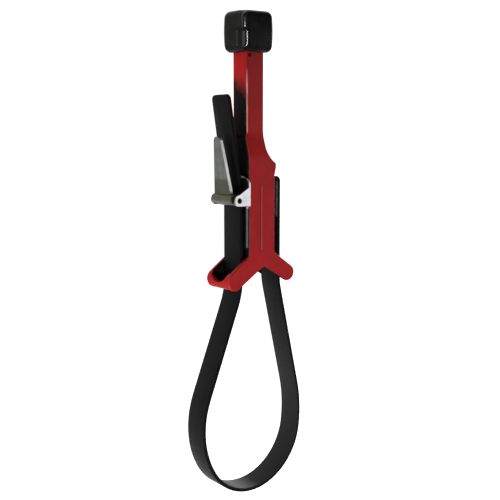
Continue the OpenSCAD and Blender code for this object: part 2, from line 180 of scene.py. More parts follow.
class WrenchBelt(bpy.types.PropertyGroup):
    """Route of the belt through the buckle, the arms and the loop."""
    width: length("Width", "Width of the belt", BELT_HIGH.z - BELT_LOW.z)
    thickness: length("Thickness", "Thickness of the belt", 3.0 * MM)
    edge: length("Edge", "Radius of the belt's edges", 0.7 * MM)
    filter_radius: length("Filter radius", "Radius of the can inside the bow", 46.5 * MM)
    bow_turn: angle("Bow turn", "Turn of the round bow", 143.0)
    wide_radius: length("Wide radius", "Middle radius of the bend on the buckle side", 69.6 * MM)
    wide_turn: angle("Wide turn", "Turn of the bend on the buckle side", 51.4)
    slack_radius: length("Slack radius", "Middle radius of the bend on the anchor side", 107.0 * MM)
    left_spread: angle("Buckle spread", "Lean of the strand on the buckle side", 21.8)
    right_spread: angle("Anchor spread", "Lean of the strand on the anchor side", 13.3)
    spread_radius: length("Spread radius", "Middle radius where the belt leaves the arms", 60.0 * MM)
    spread_y: length("Spread height", "Height where the belt leaves the arms", -38.5 * MM)
    run_x: length("Buckle run", "Middle of the belt under the buckle", -15.2 * MM)
    anchor_x: length("Anchor run", "Middle of the belt's outer layer at the anchor", 23.25 * MM)
    tail_bend_y: length("Tail bend", "Height where the tail bends away", 25.4 * MM)
    tail_lean: angle("Tail lean", "Lean of the free tail", 9.1)
    tail_radius: length("Tail radius", "Middle radius of the tail's bend", 40.0 * MM)
    tail_length: length("Tail length", "Length of the straight tail", 70.5 * MM)
    tail_corner: length("Tail corner", "Corner radius at the tail's end", 4.0 * MM)
    fold_y: length("Fold height", "Height of the middle of the fold", 35.4 * MM)
    fold_radius: length("Fold radius", "Middle radius of the fold", 2.5 * MM)
    fold_length: length("Fold length", "Length of the end that is folded back", 28.0 * MM)


class WrenchEdges(bpy.types.PropertyGroup):
    """Rounding of the rigid pieces."""
    casting: length("Casting", "Radius of the outer edges of the casting", 1.3 * MM)
    slot: length("Slots", "Radius of the edges of the belt slots", 0.7 * MM)
    neck_y: length("Neck height", "Height where the body starts to swell out of the shank", 67.1 * MM)
    neck_run: length("Neck run", "How far the crease at the neck is softened, up and down", 9.0 * MM)
    neck_slope: angle("Neck slope", "Slope of the swelling below the neck", 35.3)
    sheet: length("Sheet", "Radius of the edges of the bracket", 0.4 * MM)
    lever: length("Lever", "Radius of the edges of the lever", 0.35 * MM)
    cap: length("Cap", "Radius of the edges of the cap", 5.0 * MM)
    cap_waist: length("Cap ends", "How much the ends of the cap draw in", 0.7 * MM)
    cap_sag: length("Cap sag", "How much two opposite top corners of the soft cap sag", 2.2 * MM)
    cap_dent: length("Cap dent", "Depth of the dent in one corner of the soft cap", 1.65 * MM)


class WrenchFinish(bpy.types.PropertyGroup):
    """Colours of the finishes."""
    enamel: colour("Enamel", "Red of the painted casting", (0.43, 0.014, 0.0165))
    cap: colour("Cap", "Black of the rubber cap", (0.0085, 0.0083, 0.008))
    belt: colour("Belt", "Black of the belt", (0.004, 0.004, 0.0042))
    zinc: colour("Zinc", "Tint of the plated sheet", (0.74, 0.73, 0.75))
    lever: colour("Lever", "Tint of the lever's steel", (0.1, 0.104, 0.1))
    rivet: colour("Rivets", "Tint of the rivets", (0.56, 0.56, 0.57))
    plate: colour("Plate and pin", "Black of the anchor plate and the pin", (0.045, 0.045, 0.048))
    floor: colour("Floor", "Pale floor", (0.9, 0.9, 0.9))


def start_clean():
    """Leaves edit mode and selects nothing."""
    if bpy.context.object and bpy.context.object.mode != "OBJECT":
        bpy.ops.object.mode_set(mode="OBJECT")
    bpy.ops.object.select_all(action="DESELECT")


def take(piece):
    """Makes a piece the only selected one."""
    start_clean()
    piece.select_set(True)
    bpy.context.view_layer.objects.active = piece


def edit(piece):
    """Opens a piece in edit mode with nothing selected and returns its mesh."""
    take(piece)
    bpy.ops.object.mode_set(mode="EDIT")
    bpy.ops.mesh.select_all(action="DESELECT")
    return bmesh.from_edit_mesh(piece.data)


def smooth(piece, degrees):
    """Smooths all edges of a piece below an angle."""
    take(piece)
    bpy.ops.object.shade_smooth_by_angle(angle=math.radians(degrees))


def apply_modifier(piece, kind, **values):
    """Adds a modifier with its values and applies it."""
    take(piece)
    bpy.ops.object.modifier_add(type=kind)
    modifier = piece.modifiers[-1]
    for name, value in values.items():
        setattr(modifier, name, value)
    bpy.ops.object.modifier_apply(modifier=modifier.name)


def merged_copy(node, name):
    """A copy of a CAD node as one joined mesh with flat faces instead of loose triangles."""
    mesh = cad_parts[node].data.copy()
    mesh.materials.clear()
    piece = bpy.data.objects.new(name, mesh)
    bpy.context.scene.collection.objects.link(piece)
    edit(piece)
    bpy.ops.mesh.customdata_custom_splitnormals_clear()
    bpy.ops.mesh.select_all(action="SELECT")
    bpy.ops.mesh.remove_doubles(threshold=0.002 * MM)
    bpy.ops.mesh.dissolve_limited(angle_limit=math.radians(0.3))
    bpy.ops.object.mode_set(mode="OBJECT")
    return piece


def box_of(piece):
    """The lowest and the highest corner of a piece's mesh."""
    points = [vert.co for vert in piece.data.vertices]
    return [[pick(co[axis] for co in points) for axis in range(3)] for pick in (min, max)]


def round_edges(piece, width, segments, wanted, sharp_degrees=28.0):
    """Bevels the sharp edges whose two ends pass the test, and fails if the piece grows by that."""
    allowed = 0.05 * MM
    before = box_of(piece)
    mesh = edit(piece)
    bpy.ops.mesh.select_mode(type="EDGE")
    for edge in mesh.edges:
        corner = edge.is_manifold and edge.calc_face_angle(0.0) > math.radians(sharp_degrees)
        edge.select_set(corner and all(wanted(end.co) for end in edge.verts))
    mesh.select_flush_mode()
    bmesh.update_edit_mesh(piece.data)
    bpy.ops.mesh.bevel(
        offset=width, segments=segments, affect="EDGES", clamp_overlap=False, loop_slide=False,
        profile=0.5)
    bpy.ops.object.mode_set(mode="OBJECT")
    after = box_of(piece)
    grown = max(
        max(before[0][axis] - after[0][axis], after[1][axis] - before[1][axis]) for axis in range(3))
    if grown > allowed:
        raise RuntimeError(f"{piece.name} grew by {grown / MM:.2f} mm when its edges were rounded")


def finish_piece(piece, body, slot, material, *nodes):
    """Gives a new piece its material and its body, and hides the nodes that it stands for; the slot is
    not used.
    """
    piece.data.materials.clear()
    piece.data.materials.append(material)
    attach(piece, body)
    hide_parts(*nodes)


def dress_node(node, material):
    """Gives a CAD node that stays visible a finished material."""
    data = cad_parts[node].data
    data.materials.clear()
    data.materials.append(material)


class Finish:
    """A material that is built up node by node around one shader."""

    def __init__(self, name):
        self.material = bpy.data.materials.new(name)
        self.material.use_nodes = True
        self.tree = self.material.node_tree
        self.shader = self.tree.nodes["Principled BSDF"]
        coordinates = self.tree.nodes.new("ShaderNodeTexCoord")
        self.place = coordinates.outputs["Object"]
        self.normal = coordinates.outputs["Normal"]

    def link(self, source, target):
        """Joins an output to an input."""
        self.tree.links.new(source, target)

    def feed(self, value, name):
        """Joins an output to an input of the shader."""
        self.link(value, self.shader.inputs[name])

    def set(self, **values):
        """Sets inputs of the shader to constant values."""
        for name, value in values.items():
            self.shader.inputs[name.replace("_", " ")].default_value = value

    def noise(self, stretch, detail=4.0, roughness=0.55):
        """Noise with one frequency per metre, or with one for each of X, Y and Z."""
        mapping = self.tree.nodes.new("ShaderNodeMapping")
        mapping.inputs["Scale"].default_value = stretch if isinstance(stretch, tuple) else [stretch] * 3
        texture = self.tree.nodes.new("ShaderNodeTexNoise")
        texture.inputs["Scale"].default_value = 1.0
        texture.inputs["Detail"].default_value = detail
        texture.inputs["Roughness"].default_value = roughness
        self.link(self.place, mapping.inputs["Vector"])
        self.link(mapping.outputs["Vector"], texture.inputs["Vector"])
        return texture.outputs["Fac"]

    def spread(self, value, low, high, to_low=0.0, to_high=1.0):
        """Stretches a value between two limits."""
        node = self.tree.nodes.new("ShaderNodeMapRange")
        node.inputs["From Min"].default_value = low
        node.inputs["From Max"].default_value = high
        node.inputs["To Min"].default_value = to_low
        node.inputs["To Max"].default_value = to_high
        self.link(value, node.inputs["Value"])
        return node.outputs["Result"]

    def ramp(self, value, limits, none=0.0, full=1.0):
        """Stretches a value in metres between two limits in millimetres."""
        return self.spread(value, limits[0] * MM, limits[1] * MM, none, full)

    def part_of(self, vector, axis):
        """One of the three values of a vector."""
        node = self.tree.nodes.new("ShaderNodeSeparateXYZ")
        self.link(vector, node.inputs["Vector"])
        return node.outputs[axis]

    def along(self, axis):
        """The coordinate along one axis, in metres."""
        return self.part_of(self.place, axis)

    def facing(self, axis):
        """How much the surface faces along one axis, from -1 to 1."""
        return self.part_of(self.normal, axis)

    def band(self, axis, limits, none=0.0, full=1.0):
        """A ramp between two places along one axis."""
        return self.ramp(self.along(axis), limits, none, full)

    def turned(self, axis, low, high):
        """A ramp between two amounts of facing along one axis."""
        return self.spread(self.facing(axis), low, high)

    def towards(self, point):
        """1 where the surface faces a point and 0 where it faces away."""
        away = self.vector_math("SUBTRACT", self.place, point)
        return self.ramp(self.vector_math("DOT_PRODUCT", away, self.normal, "Value"), (0.0, -5.0))

    def around(self, centre, limits):
        """A ramp between two distances from a line along Z through a point."""
        flat = self.vector_math("MULTIPLY", self.place, (1.0, 1.0, 0.0))
        return self.ramp(self.vector_math("DISTANCE", flat, (*centre, 0.0), "Value"), limits)

    def edges(self, radius):
        """How much a point lies on a rounded edge, from 0 to 1."""
        bevel = self.tree.nodes.new("ShaderNodeBevel")
        bevel.samples = 4
        bevel.inputs["Radius"].default_value = radius
        surface = self.tree.nodes.new("ShaderNodeNewGeometry")
        dot = self.vector_math(
            "DOT_PRODUCT", bevel.outputs["Normal"], surface.outputs["Normal"], "Value")
        return self.spread(dot, 0.995, 0.93)

    def fill(self, socket, value):
        """Gives an input a constant or joins it to an output."""
        if isinstance(value, bpy.types.NodeSocket):
            self.link(value, socket)
        else:
            socket.default_value = value

    def math(self, operation, first, second):
        """One operation on two values, each a number or an output."""
        node = self.tree.nodes.new("ShaderNodeMath")
        node.operation = operation
        self.fill(node.inputs[0], first)
        self.fill(node.inputs[1], second)
        return node.outputs["Value"]

    def vector_math(self, operation, first, second, result="Vector"):
        """One operation on two vectors, each a tuple or an output."""
        node = self.tree.nodes.new("ShaderNodeVectorMath")
        node.operation = operation
        self.fill(node.inputs[0], first)
        self.fill(node.inputs[1], second)
        return node.outputs[result]

    def both(self, first, second):
        """The product of two values."""
        return self.math("MULTIPLY", first, second)

    def either(self, first, second):
        """The larger one of two values."""
        return self.math("MAXIMUM", first, second)

    def blend(self, factor, first, second):
        """Mixes two colours, each a tuple or an output."""
        node = self.tree.nodes.new("ShaderNodeMix")
        node.data_type = "RGBA"
        self.link(factor, node.inputs[0])
        for socket, value in ((node.inputs[6], first), (node.inputs[7], second)):
            self.fill(socket, value if isinstance(value, bpy.types.NodeSocket) else (*value[:3], 1.0))
        return node.outputs[2]

    def bump(self, height, distance, strength):
        """Adds relief to the shader's normal; its strength is a number or an output."""
        node = self.tree.nodes.new("ShaderNodeBump")
        self.fill(node.inputs["Strength"], strength)
        node.inputs["Distance"].default_value = distance
        self.link(height, node.inputs["Height"])
        target = self.shader.inputs["Normal"]
        if target.links:
            self.link(target.links[0].from_socket, node.inputs["Normal"])
        self.link(node.outputs["Normal"], target)


def shade(rgb, factor):
    """A colour made darker or lighter."""
    return tuple(min(1.0, channel * factor) for channel in rgb[:3])


def enamel_finish(rgb):
    """Semi-gloss red enamel over a sand casting, with thin paint on its edges, darker bands on its near
    faces, painted shadow on its left sides, in its slots and in the blind hole, and painted highlights
    on the rib and one corner.
    """
    paint = Finish("red_enamel")
    cloudy = paint.spread(paint.noise(55.0), 0.3, 0.7)
    coat = paint.blend(cloudy, shade(rgb, 0.86), shade(rgb, 1.1))
    speck = paint.spread(paint.noise(900.0, 2.0), 0.66, 0.74)
    coat = paint.blend(paint.both(speck, 0.35), coat, shade(rgb, 0.45))
    thin = paint.both(paint.edges(0.9 * MM), paint.spread(cloudy, 0.45, 0.9))
    coat = paint.blend(paint.both(thin, 0.3), coat, THIN_PAINT)
    # Painted highlight: a lighter line along the crest of the rib.
    coat = paint.blend(paint.both(paint.band("Z", RIB_CREST_Z), 0.6), coat, RIB_HIGHLIGHT)

    # Darker bands on the near faces: at the shoulder, from the neck up, and strongest towards the cap.
    shoulder = paint.both(
        paint.band("Y", SHOULDER_DARK_Y, full=0.08), paint.band("Y", SHOULDER_DARK_END_Y))
    shank = paint.either(
        paint.band("Y", NECK_DARK_Y, full=0.08), paint.band("Y", SHANK_DARK_Y, full=0.28))
    near_darkening = paint.both(paint.either(shoulder, shank), paint.turned("Z", 0.6, 0.9))
    coat = paint.blend(near_darkening, coat, shade(rgb, 0.08))

    # Painted shadow: the left sides below a slanted ragged line, the undersides of the arms, the slot
    # walls and the blind hole turn nearly black; these places lose their gloss, and all left sides lose
    # most of theirs.
    slant = paint.math("ADD", paint.along("Y"), paint.both(paint.along("Z"), 0.75))
    ragged = paint.spread(paint.noise(150.0, 3.0), 0.25, 0.75, -4.0 * MM, 4.0 * MM)
    left_side = paint.turned("X", -0.5, -0.75)
    painted_shade = paint.both(left_side, paint.ramp(paint.math("ADD", slant, ragged), SHADOW_TOP_Y))
    painted_shade = paint.both(painted_shade, paint.band("Y", SHADOW_FOOT_Y))
    under_arm = paint.both(paint.turned("X", -0.2, -0.4), paint.band("X", UNDER_ARM_X))
    slot_wall = paint.both(paint.turned("Z", 0.6, 0.8), paint.band("Z", SLOT_WALL_Z))
    slot_shade = paint.both(paint.either(under_arm, slot_wall), paint.band("Y", SLOT_SHADE_Y))
    painted_shade = paint.either(paint.either(painted_shade, slot_shade), paint.around(BLIND_HOLE, BLIND_HOLE_R))
    dull = paint.either(painted_shade, paint.both(left_side, 0.8))
    paint.feed(paint.spread(dull, 0.0, 1.0, 0.07, 0.0), "Specular IOR Level")
    paint.feed(paint.spread(dull, 0.0, 1.0, 0.05, 0.0), "Coat Weight")
    coat = paint.blend(paint.both(painted_shade, 0.995), coat, PAINTED_SHADOW)

    # Painted highlight: a pale pink line along the near left corner of the shank and body, faint low
    # down.
    corner = paint.spread(paint.both(paint.facing("X"), paint.facing("Z")), -0.2, -0.34)
    corner = paint.both(corner, paint.spread(cloudy, 0.1, 0.5, 0.8, 1.0))
    highlight_span = paint.both(paint.band("Y", HIGHLIGHT_FOOT_Y, none=0.07), paint.band("Y", HIGHLIGHT_TOP_Y))
    coat = paint.blend(paint.both(corner, highlight_span), coat, CORNER_HIGHLIGHT)
    paint.feed(coat, "Base Color")
    paint.feed(paint.spread(paint.noise(160.0), 0.3, 0.7, 0.3, 0.46), "Roughness")
    paint.set(Coat_Roughness=0.12)
    paint.bump(paint.noise(420.0, 3.0), 0.12 * MM, 0.25)
    paint.bump(paint.noise(2200.0, 2.0), 0.02 * MM, 0.35)
    return paint.material


def cap_finish(rgb):
    """Glossy moulded rubber with a faint skin texture."""
    rubber = Finish("glossy_black_rubber")
    dust = rubber.spread(rubber.noise(70.0), 0.45, 0.75)
    rubber.feed(rubber.blend(dust, rgb, shade(rgb, 2.2)), "Base Color")
    rubber.feed(rubber.spread(rubber.noise(120.0), 0.3, 0.7, 0.14, 0.26), "Roughness")
    corner = rubber.both(rubber.turned("X", -0.2, -0.4), rubber.turned("Z", 0.2, 0.4))
    shiny = rubber.both(rubber.spread(corner, 0.0, 1.0, 0.03, 1.0), rubber.turned("Y", -0.35, -0.1))
    rubber.feed(shiny, "Coat Weight")
    rubber.set(Specular_IOR_Level=0.025, Coat_Roughness=0.16)
    rubber.bump(rubber.noise(85.0, 1.0), 2.2 * MM, 0.2)
    rubber.bump(rubber.noise(1500.0, 2.0), 0.02 * MM, 0.3)
    return rubber.material


def belt_finish(rgb):
    """Black belt rubber with fine grain along its length, with painted light on the inner faces of the
    loop and a painted sheen at the bottom of the bow.
    """
    belt = Finish("grained_belt_rubber")
    grain = belt.noise((25.0, 25.0, 2600.0), 5.0, 0.65)
    worn = belt.spread(belt.noise((60.0, 60.0, 200.0)), 0.42, 0.7)
    tint = belt.blend(belt.spread(grain, 0.35, 0.7), shade(rgb, 0.6), shade(rgb, 1.6))
    tint = belt.blend(belt.both(worn, 0.4), tint, shade(rgb, 2.2))
    # Painted light on the faces towards the loop's middle, weaker higher up.
    inner_light = belt.both(belt.towards(LOOP_MIDDLE), belt.spread(grain, 0.3, 0.75, 0.45, 1.0))
    inner_light = belt.both(inner_light, belt.band("Y", LOOP_LIGHT_Y, none=0.3))
    tint = belt.blend(inner_light, tint, shade(rgb, 6.5))
    # Painted sheen where the bottom of the bow faces up.
    bow_sheen = belt.both(belt.turned("Y", 0.8, 0.97), belt.band("X", LOOP_END_X))
    bow_sheen = belt.both(bow_sheen, belt.band("Y", LOOP_END_Y))
    bow_sheen = belt.both(bow_sheen, belt.spread(grain, 0.3, 0.75, 0.5, 1.0))
    tint = belt.blend(bow_sheen, tint, shade(rgb, 70.0))
    belt.feed(tint, "Base Color")
    belt.feed(belt.spread(grain, 0.3, 0.7, 0.42, 0.62), "Roughness")
    belt.set(Specular_IOR_Level=0.05)
    belt.bump(grain, 0.08 * MM, 0.35)
    belt.bump(belt.noise(1400.0, 3.0), 0.04 * MM, 0.3)
    return belt.material


def zinc_finish(rgb):
    """Bright zinc plate with faint rolling marks, and painted shade on the buckle side under the belt.
    """
    zinc = Finish("bright_zinc_plate")
    rolled = zinc.noise((1500.0, 60.0, 1500.0), 3.0)
    cloudy = zinc.spread(zinc.noise(140.0), 0.35, 0.7)
    tint = zinc.blend(cloudy, shade(rgb, 0.9), shade(rgb, 1.06))
    # Painted shade: on the buckle side the zinc turns dark on its left sides, on the tongue and on
    # faces turned up the handle.
    painted_shade = zinc.either(zinc.turned("X", -0.25, -0.6), zinc.band("Y", TONGUE_Y, full=0.92))
    painted_shade = zinc.either(painted_shade, zinc.turned("Y", 0.6, 0.85))
    painted_shade = zinc.both(painted_shade, zinc.band("X", BUCKLE_SIDE_X))
    tint = zinc.blend(zinc.both(painted_shade, 0.9), tint, ZINC_SHADE)
    zinc.feed(tint, "Base Color")
    zinc.feed(zinc.spread(rolled, 0.3, 0.7, 0.24, 0.38), "Roughness")
    zinc.set(Metallic=1.0)
    zinc.bump(rolled, 0.02 * MM, 0.25)
    zinc.bump(zinc.noise(500.0), 0.03 * MM, 0.2)
    return zinc.material


def lever_finish(rgb):
    """Plain pressed steel, with painted shade on the heel, darker round the barrel, and bright on its
    sheared edge, with a painted highlight where that edge faces the near side.
    """
    steel = Finish("pressed_lever_steel")
    cloudy = steel.spread(steel.noise(150.0), 0.3, 0.72)
    tint = steel.blend(cloudy, shade(rgb, 0.78), shade(rgb, 1.2))
    # Painted shade on the heel; the barrel is darker as well.
    tint = steel.blend(steel.both(steel.band("Y", LEVER_HEEL_Y), 0.8), tint, HEEL_SHADE)
    tint = steel.blend(steel.both(steel.band("Y", LEVER_BARREL_Y), 0.8), tint, BARREL_TINT)
    # The sheared edge is bare bright steel, painted lighter as a highlight only where it faces the near
    # side; it is also smoother there.
    sheared_highlight = steel.both(steel.turned("Z", 0.6, 0.85), steel.band("Y", LEVER_EDGE_Y))
    steel.feed(steel.blend(sheared_highlight, tint, SHEARED_HIGHLIGHT), "Base Color")
    dull = steel.spread(steel.noise(260.0), 0.3, 0.7, 0.34, 0.52)
    steel.feed(steel.both(dull, steel.spread(sheared_highlight, 0.0, 1.0, 1.0, 0.8)), "Roughness")
    steel.set(Metallic=0.9)
    marks = steel.noise((800.0, 200.0, 800.0), 3.0)
    steel.bump(marks, 0.04 * MM, steel.spread(sheared_highlight, 0.0, 1.0, 0.3, 0.03))
    return steel.material


def oxide_finish(rgb):
    """Black oxide of the pivot pin and the plate inside the fold, rubbed thin in patches."""
    oxide = Finish("black_oxide")
    thin = oxide.spread(oxide.noise(220.0), 0.45, 0.75)
    oxide.feed(oxide.blend(thin, rgb, shade(rgb, 2.0)), "Base Color")
    oxide.feed(oxide.spread(thin, 0.0, 1.0, 0.5, 0.36), "Roughness")
    oxide.set(Metallic=0.6, Specular_IOR_Level=0.2)
    oxide.bump(oxide.noise(900.0, 2.0), 0.03 * MM, 0.3)
    return oxide.material


def rivet_finish(rgb):
    """Plain steel of the rivets, with turning marks and a dark film."""
    steel = Finish("plain_rivet_steel")
    film = steel.spread(steel.noise(400.0), 0.4, 0.75)
    steel.feed(steel.blend(film, rgb, shade(rgb, 0.6)), "Base Color")
    steel.feed(steel.spread(film, 0.0, 1.0, 0.3, 0.5), "Roughness")
    steel.set(Metallic=1.0)
    steel.bump(steel.noise(1800.0, 2.0), 0.02 * MM, 0.3)
    return steel.material


def floor_finish(rgb):
    """Pale seamless floor that stays bright under the object."""
    floor = Finish("pale_floor")
    tone = floor.spread(floor.noise(3.0), 0.3, 0.7)
    floor.feed(floor.blend(tone, shade(rgb, 0.985), rgb), "Base Color")
    floor.set(Roughness=0.9, Emission_Color=(1.0, 1.0, 1.0, 1.0), Emission_Strength=FLOOR_GLOW)
    return floor.material


def on_rib(co):
    """Whether a point of the casting lies on the rib of its near face."""
    foot = abs(co.z - CAP_HIGH.z) < HAIR and abs(co.x - RIB_X) < RIB_HALF
    return foot or co.z > CAP_HIGH.z + RIB_RISE


def in_slot(co):
    """Whether a point of the casting lies on the belt slot of an arm."""
    return co.y < SLOT_TOP and abs(co.z - MIDDLE_Z) < SLOT_HALF


def in_hole(co):
    """Whether a point of the casting lies on the blind hole or on a rivet hole."""
    rivet = abs(co.z - MIDDLE_Z) < RIVET_HOLE_REACH and SLOT_TOP < co.y < PLATE_HIGH.y
    return rivet or (co.xy - BLIND_HOLE).length < BLIND_HOLE_REACH


def on_belt_seat(co):
    """Whether a point of the casting lies on the seat of the anchored belt."""
    level = PLATE_LOW.y - BELT_SEAT_BELOW < co.y < PLATE_HIGH.y + BELT_SEAT_ABOVE
    return level and co.x > PLATE_LOW.x - BELT_SEAT_DEPTH and abs(co.z - MIDDLE_Z) < SLOT_HALF


def on_outer_edge(co):
    """Whether a point of the casting lies on none of these."""
    return not (on_rib(co) or in_slot(co) or in_hole(co) or on_belt_seat(co))


class WRENCH_OT_handle(bpy.types.Operator):
    """Softens the neck of the casting, rounds its edges and paints it"""
    bl_idname = "wrench.handle"
    bl_label = "Cast handle"

    def execute(self, context):
        edges = context.scene.wrench_edges
        casting = merged_copy("handle", "handle_casting")
        self.soften_neck(casting, edges)
        round_edges(casting, edges.casting, 4, on_outer_edge)
        round_edges(casting, edges.slot, 3, in_slot)
        smooth(casting, 32.0)
        apply_modifier(casting, "WEIGHTED_NORMAL", keep_sharp=True)
        enamel = enamel_finish(context.scene.wrench_finish.enamel)
        finish_piece(casting, BODY, "handle_paint", enamel, "handle")
        return {"FINISHED"}

    def soften_neck(self, casting, edges):
        """Fills the crease at the neck with a curve that meets the shank and the swelling."""
        strips = 6
        edit(casting)
        for strip in range(-strips, strips + 1):
            place = edges.neck_y + strip / strips * edges.neck_run
            bpy.ops.mesh.select_all(action="SELECT")
            bpy.ops.mesh.bisect(plane_co=(0.0, place, 0.0), plane_no=UP)
        for vert in bmesh.from_edit_mesh(casting.data).verts:
            inside = max(0.0, edges.neck_run - abs(vert.co.y - edges.neck_y))
            fill = math.tan(edges.neck_slope) * inside ** 2 / (4.0 * edges.neck_run)
            vert.co.z += math.copysign(fill, vert.co.z - MIDDLE_Z)
        bmesh.update_edit_mesh(casting.data)
        bpy.ops.object.mode_set(mode="OBJECT")


class WRENCH_OT_cap(bpy.types.Operator):
    """Moulds the rubber cap on the end of the shank"""
    bl_idname = "wrench.cap"
    bl_label = "End cap"

    def execute(self, context):
        edges = context.scene.wrench_edges
        size = CAP_HIGH - CAP_LOW
        centre = (CAP_HIGH + CAP_LOW) / 2.0
        start_clean()
        bpy.ops.mesh.primitive_cube_add(size=1.0, location=centre, scale=size)
        cap = bpy.context.object
        cap.name = "end_cap_moulding"
        bpy.ops.object.transform_apply(location=True, rotation=True, scale=True)
        edit(cap)
        bpy.ops.mesh.select_all(action="SELECT")
        bpy.ops.mesh.bevel(offset=edges.cap, segments=10, affect="EDGES", clamp_overlap=True)
        self.slice_walls(cap, edges.cap)
        mesh = bmesh.from_edit_mesh(cap.data)
        for vert in mesh.verts:
            self.press_dent(vert.co, edges.cap_dent)
            side = [2.0 * (vert.co[axis] - centre[axis]) / size[axis] for axis in range(3)]
            draw = 1.0 - 2.0 * edges.cap_waist / size.x * side[1] ** 2
            vert.co.x = centre.x + (vert.co.x - centre.x) * draw
            vert.co.z = centre.z + (vert.co.z - centre.z) * draw
            vert.co.y -= edges.cap_sag * max(side[1], 0.0) * max(-side[0] * side[2], 0.0)
        self.turn_in_rim(cap, mesh, centre)
        shank = merged_copy("handle", "shank_core")
        apply_modifier(cap, "BOOLEAN", operation="DIFFERENCE", solver="EXACT", object=shank)
        take(shank)
        bpy.ops.object.delete()
        smooth(cap, 50.0)
        rubber = cap_finish(context.scene.wrench_finish.cap)
        finish_piece(cap, BODY, "cap_rubber", rubber, "end_cap")
        return {"FINISHED"}

    def slice_walls(self, cap, rounding):
        """Cuts the walls into strips that are fine enough to bend, and leaves the mouth whole."""
        step = 1.0 * MM
        across, up, deep = 5, 21, 7
        cuts = [(0, CAP_LOW.x + rounding + strip * step) for strip in range(across)]
        cuts += [(1, CAP_LOW.y + rounding + strip * step) for strip in range(up)]
        cuts += [(2, CAP_HIGH.z - rounding - strip * step) for strip in range(deep)]
        for axis, place in cuts:
            mesh = bmesh.from_edit_mesh(cap.data)
            for face in mesh.faces:
                face.select_set(face.normal.y > -0.95)
            bmesh.update_edit_mesh(cap.data)
            normal = [0.0, 0.0, 0.0]
            normal[axis] = 1.0
            bpy.ops.mesh.bisect(plane_co=[place] * 3, plane_no=normal)

    def press_dent(self, co, depth):
        """Moves a point of the cap into the soft dent low on its near left corner."""
        half_width, half_height, ramp = 6.6 * MM, 7.5 * MM, 3.0 * MM
        above_rim, off_corner = 9.5 * MM, 2.6 * MM
        inward = Vector((1.0, 0.0, -1.0)).normalized()
        sideways = Vector((1.0, 0.0, 1.0)).normalized()
        offset = co - Vector((CAP_LOW.x, CAP_LOW.y + above_rim, CAP_HIGH.z))
        if offset.dot(inward) < half_width:
            across = (offset.dot(sideways) + off_corner) / half_width
            rise = min(1.0, max(0.0, (half_height - abs(offset.y)) / ramp))
            share = max(0.0, 1.0 - across ** 2) ** 2 * rise ** 2 * (3.0 - 2.0 * rise)
            co += inward * depth * share

    def turn_in_rim(self, cap, mesh, centre):
        """Gives the mouth of the cap a rim with a low step inside it, and leaves edit mode."""
        rim, step, drop = 1.3 * MM, 0.3 * MM, 0.25 * MM
        mouth = min(
            mesh.faces, key=lambda face: face.normal.y + (face.calc_center_median() - centre).length)
        bpy.ops.mesh.select_all(action="DESELECT")
        mesh.select_mode = {"FACE"}
        mouth.select_set(True)
        bmesh.update_edit_mesh(cap.data)
        bpy.ops.mesh.inset(thickness=rim, depth=0.0)
        bpy.ops.mesh.inset(thickness=step, depth=-drop)
        bpy.ops.object.mode_set(mode="OBJECT")


def heading_vector(heading):
    """Unit vector in the belt's plane."""
    return Vector((math.cos(heading), math.sin(heading), 0.0))


def arc_move(radius, heading, turn):
    """Where an arc ends; a right-hand bend has a negative radius."""
    return radius * Vector((
        math.sin(heading + turn) - math.sin(heading),
        math.cos(heading) - math.cos(heading + turn),
        0.0))


def belt_route(belt):
    """The belt from its tail to the end of its fold: lines as (length,), arcs as (radius, turn)."""
    bow_radius = belt.filter_radius + belt.thickness / 2.0
    left = -QUARTER - belt.left_spread
    right = QUARTER + belt.right_spread
    slack_turn = math.pi + belt.left_spread + belt.right_spread - belt.wide_turn - belt.bow_turn
    bow = left + belt.wide_turn
    slack = bow + belt.bow_turn
    start = Vector((belt.run_x, belt.spread_y, 0.0))
    start += arc_move(-belt.spread_radius, -QUARTER, -belt.left_spread)
    end = Vector((belt.anchor_x, belt.spread_y, 0.0))
    end -= arc_move(-belt.spread_radius, right, -belt.right_spread)
    arcs = (arc_move(belt.wide_radius, left, belt.wide_turn) + arc_move(bow_radius, bow, belt.bow_turn)
            + arc_move(belt.slack_radius, slack, slack_turn))
    gap = end - start - arcs
    closing = heading_vector(left).cross(heading_vector(right)).z
    left_length = gap.cross(heading_vector(right)).z / closing
    right_length = heading_vector(left).cross(gap).z / closing
    return [
        (belt.tail_length,),
        (-belt.tail_radius, -belt.tail_lean),
        (belt.tail_bend_y - belt.spread_y,),
        (-belt.spread_radius, -belt.left_spread),
        (left_length,),
        (belt.wide_radius, belt.wide_turn),
        (bow_radius, belt.bow_turn),
        (belt.slack_radius, slack_turn),
        (right_length,),
        (-belt.spread_radius, -belt.right_spread),
        (belt.fold_y - belt.spread_y,),
        (belt.fold_radius, math.pi),
        (belt.fold_length,),
    ]


